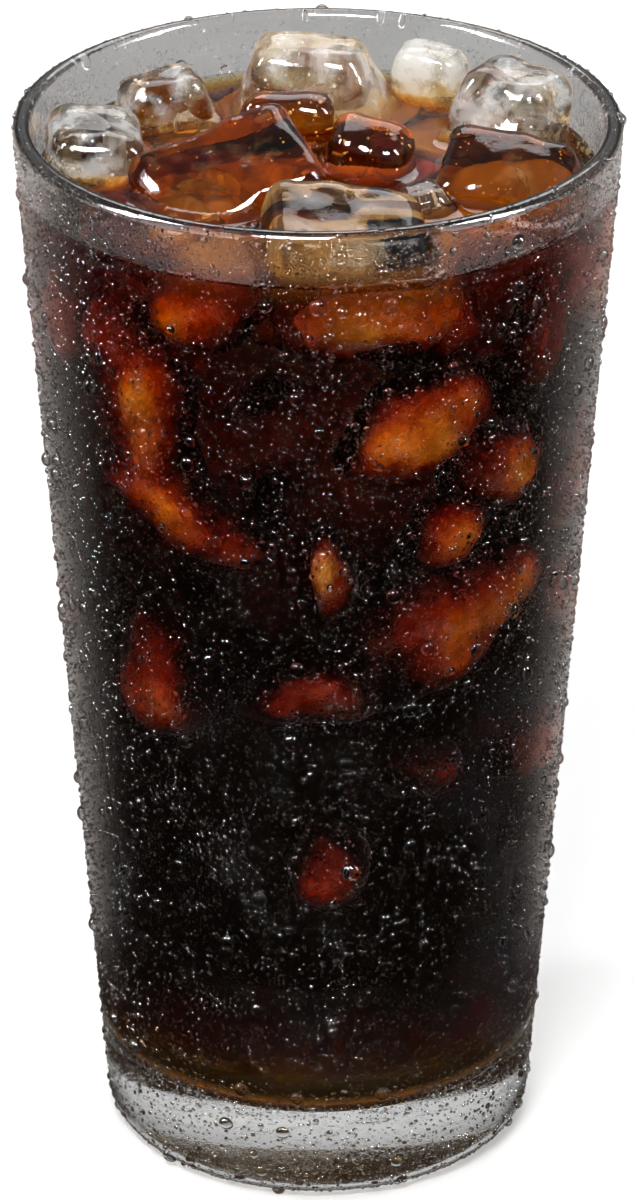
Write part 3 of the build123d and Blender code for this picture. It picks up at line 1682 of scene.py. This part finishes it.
@dataclass
class Studio:
    """A plain pale table, plain soft lamps and the camera.

    The camera sees white all round. Grey shows through the glass, darker near the foot. Gloss
    mirrors a table that is dark in front of the drink and pale behind it. A reach is a span of
    metres from the axis over which one changes into the next; low_reach and the dome's places are
    shares of straight up, for the sky.
    """

    bounds: tuple[Vector, Vector]
    elevation: float = 26.26
    distance: float = 0.9601
    aim_share: float = 0.5211
    lens: float = 197.89
    film: float = 36.0
    lamps: tuple[Softbox, ...] = (
        Softbox("key", -14, 50, 1.00, 0.34, 0.30, 20.0),
        Softbox("front_fill", 12, 14, 1.15, 0.60, 0.50, 5.6, Shows.LIGHT),
        Softbox("back_light", 172, 46, 0.90, 0.60, 0.34, 5.0, Shows.SKIN),
        Softbox("left_strip", -84, 34, 0.80, 0.12, 0.70, 9.0),
        Softbox("right_strip", 86, 36, 0.80, 0.10, 0.70, 7.0),
        Softbox("glint", -10, 52, 0.95, 0.32, 0.28, 190.0, Shows.GLINT),
        Softbox("left_glint", -76, 38, 0.75, 0.14, 0.50, 110.0, Shows.GLINT),
        Softbox("right_glint", 76, 40, 0.75, 0.12, 0.50, 90.0, Shows.GLINT),
    )
    table_size: float = 6.0
    seen_floor: float = 0.93
    white_reach: Span = (0.30, 0.75)
    seen_through: float = 0.40
    shaded_through: Colour = (0.030, 0.016, 0.009)
    shade_reach: Span = (0.065, 0.105)
    low_reach: Span = (0.12, 0.28)
    lit_floor: float = 0.30
    mirrored_near: Colour = (0.022, 0.013, 0.009)
    mirrored_far: Colour = (0.004, 0.001, 0.0005)
    mirrored_behind: Colour = (0.55, 0.50, 0.47)
    mirror_reach: Span = (0.10, 0.30)
    behind: Span = (0.05, 0.85)
    behind_from: Span = (0.055, 0.085)
    dome: tuple[Point, ...] = (
        (0.0, 0.06),
        (0.22, 0.14),
        (0.36, 0.60),
        (0.50, 0.60),
        (0.68, 0.30),
        (0.999, 0.40),
    )

    def floor(self) -> None:
        """Lay the table: white to the camera, grey through the glass, mostly dark in reflections."""
        clear_bench()
        bpy.ops.mesh.primitive_plane_add(size=self.table_size)
        table = bpy.context.object
        table.name = "table"
        nodes = Nodes("pale_table")
        nodes.set(roughness=0.9, specular_ior_level=0.0)
        path = nodes.add("ShaderNodeLightPath")
        bounced = nodes.maths("GREATER_THAN", path.outputs["Glossy Depth"], 0.5)
        either = nodes.maths("MAXIMUM", bounced, nodes.straight(path, bounced))
        unseen = nodes.mix(either, (self.lit_floor,) * 3, (0.0, 0.0, 0.0))
        seen = nodes.mix(path.outputs["Is Camera Ray"], unseen, (self.seen_floor,) * 3)
        nodes.link(seen, "Result", nodes.shader, "Base Color")
        far = nodes.add("ShaderNodeVectorMath", operation="LENGTH")
        nodes.link(nodes.place, "Object", far, 0)
        reach = nodes.span(far, "Value", *self.shade_reach)
        through = nodes.mix(reach, self.shaded_through, (self.seen_through,) * 3)
        glow = nodes.mix(bounced, through, self.mirrored(nodes))
        white = nodes.mix(path.outputs["Is Camera Ray"], glow, (1.0, 1.0, 1.0))
        away = nodes.span(far, "Value", *self.white_reach)
        plain = nodes.maths("MULTIPLY", path.outputs["Is Camera Ray"], away)
        nodes.link(white, "Result", nodes.shader, "Emission Color")
        nodes.link(nodes.maths("MAXIMUM", either, plain), 0, nodes.shader, "Emission Strength")
        table.data.materials.append(nodes.material)

    def mirrored(self, nodes: Nodes) -> bpy.types.Node:
        """The table as reflections find it: almost black in front of the drink, pale behind it.

        Args:
            nodes: The table's material.

        Returns:
            A Mix node.
        """
        far = nodes.add("ShaderNodeVectorMath", operation="LENGTH")
        facing = nodes.add("ShaderNodeVectorMath", operation="NORMALIZE")
        split = nodes.add("ShaderNodeSeparateXYZ")
        nodes.link(nodes.place, "Object", far, 0)
        nodes.link(nodes.place, "Object", facing, 0)
        nodes.link(facing, 0, split, 0)
        away = nodes.span(far, "Value", *self.mirror_reach)
        front = nodes.mix(away, self.mirrored_near, self.mirrored_far)
        clear = nodes.span(far, "Value", *self.behind_from)
        behind = nodes.maths("MULTIPLY", nodes.span(split, "Y", *self.behind), clear)
        return nodes.mix(behind, front, self.mirrored_behind)

    def sky(self) -> None:
        """White behind the object, and dim grey all round it that brightens upwards."""
        world = bpy.data.worlds.new("studio")
        world.use_nodes = True
        tree = Tree(world.node_tree)
        path = tree.add("ShaderNodeLightPath")
        split = tree.add("ShaderNodeSeparateXYZ")
        tree.link(tree.place, "Generated", split, 0)
        bands = [(height, (grey,) * 3) for height, grey in self.dome]
        low, high = self.low_reach
        shades = [(low, self.shaded_through), (high, (self.seen_through,) * 3)]
        unseen = tree.add("ShaderNodeMixShader")
        tree.link(tree.straight(path, path.outputs["Glossy Depth"]), 0, unseen, 0)
        tree.link(self.background(tree, tree.ramp(split, "Z", bands)), 0, unseen, 1)
        tree.link(self.background(tree, tree.ramp(split, "Z", shades)), 0, unseen, 2)
        seen = tree.add("ShaderNodeMixShader")
        tree.link(path, "Is Camera Ray", seen, 0)
        tree.link(unseen, 0, seen, 1)
        tree.link(self.background(tree), 0, seen, 2)
        output = tree.add("ShaderNodeOutputWorld")
        tree.link(seen, 0, output, "Surface")
        bpy.context.scene.world = world

    @staticmethod
    def background(tree: Tree, colour: bpy.types.Node | None = None) -> bpy.types.Node:
        """A Background node.

        Args:
            tree: The world's node tree.
            colour: A node that gives its colour; white without one.

        Returns:
            The Background node.
        """
        shade = tree.add("ShaderNodeBackground")
        shade.inputs["Color"].default_value = (1, 1, 1, 1)
        if colour:
            tree.link(colour, "Color", shade, "Color")
        return shade

    def aim(self) -> Vector:
        """The point that the camera and the lamps look at."""
        low, high = self.bounds
        return Vector((0, 0, low.z + (high.z - low.z) * self.aim_share))

    def stand_off(self, azimuth: float, elevation: float, distance: float) -> Matrix:
        """A place at a distance from the aim that looks back at it.

        Args:
            azimuth: Degrees from the front, growing to the right.
            elevation: Degrees above level.
            distance: Metres from the aim.

        Returns:
            The place, with -Z towards the aim.
        """
        side, up = math.radians(azimuth), math.radians(elevation)
        away = Vector((math.sin(side) * math.cos(up), -math.cos(side) * math.cos(up), math.sin(up)))
        look = (-away).to_track_quat("-Z", "Y").to_matrix().to_4x4()
        return Matrix.Translation(self.aim() + away * distance) @ look

    def light(self, box: Softbox) -> None:
        """Hang one lamp: its power gives it the radiance asked for.

        Args:
            box: The lamp's place, size and radiance.
        """
        lamp = bpy.data.lights.new(box.name, "AREA")
        lamp.shape = "RECTANGLE"
        lamp.size, lamp.size_y = box.wide, box.tall
        lamp.energy = box.radiance * math.pi * box.wide * box.tall
        holder = bpy.data.objects.new(box.name, lamp)
        bpy.context.scene.collection.objects.link(holder)
        holder.matrix_world = self.stand_off(box.azimuth, box.elevation, box.distance)
        holder.visible_camera = False
        holder.visible_diffuse = box.shows is not Shows.GLINT
        holder.visible_transmission = box.shows not in (Shows.GLINT, Shows.SKIN)
        holder.visible_glossy = box.shows is not Shows.LIGHT

    def camera(self) -> None:
        """Set up the camera."""
        body = bpy.data.cameras.new("camera")
        body.lens, body.sensor_width = self.lens, self.film
        body.clip_start, body.clip_end = 0.05, 20
        holder = bpy.data.objects.new("camera", body)
        bpy.context.scene.collection.objects.link(holder)
        holder.matrix_world = self.stand_off(0, self.elevation, self.distance)
        bpy.context.scene.camera = holder

    def build(self) -> None:
        """Set up the table, the sky, the lamps and the camera."""
        self.camera()
        self.floor()
        self.sky()
        for box in self.lamps:
            self.light(box)
        bpy.context.scene.view_settings.view_transform = "Standard"


def main() -> None:
    """Build the drink from the glass inwards, then the studio."""
    logging.basicConfig(level=logging.INFO, format="%(message)s")
    tumbler = Tumbler()
    tumbler.build()
    standing = StandingIce(tumbler)
    standing.build()
    SunkIce(tumbler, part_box("coffee")[1].z).build()
    Coffee(tumbler, standing).build()
    Dew(tumbler).build()
    Studio(cad_bounds).build()


if __name__ == "__main__":
    main()
